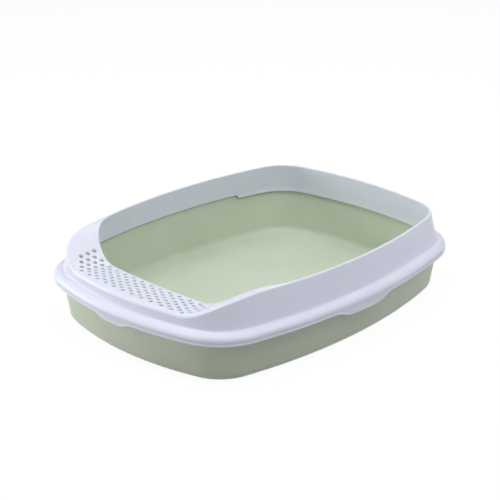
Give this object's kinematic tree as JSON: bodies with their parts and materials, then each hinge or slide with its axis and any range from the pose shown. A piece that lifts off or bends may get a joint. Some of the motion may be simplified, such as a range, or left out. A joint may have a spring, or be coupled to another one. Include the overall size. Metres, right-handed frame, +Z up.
{
  "type": "cat litter box",
  "caption": "Open cat litter box: a shallow tray with drafted walls under a lift-off raised rim that has a low perforated entry sill, a rounded shelf and finger tabs.",
  "frame": {"origin": "under the middle of the box, on the surface it stands on", "axes": "+Y from the low entry sill towards the plain rear wall, +X to the right for someone facing +Y, +Z up"},
  "size_m": [0.385, 0.5, 0.1074],
  "materials": {
    "rim_plastic": "satin moulded polypropylene, lavender white",
    "tray_plastic": "satin moulded polypropylene, sage green"
  },
  "bodies": {
    "tray": {"tray": "tray_plastic"},
    "rim": {"rim_frame": "rim_plastic"}
  },
  "joints": [
    {"name": "rim_lift", "type": "slide", "parent": "tray", "child": "rim", "axis": [0, 0, 1], "range_m": [0, 0.1]}
  ]
}
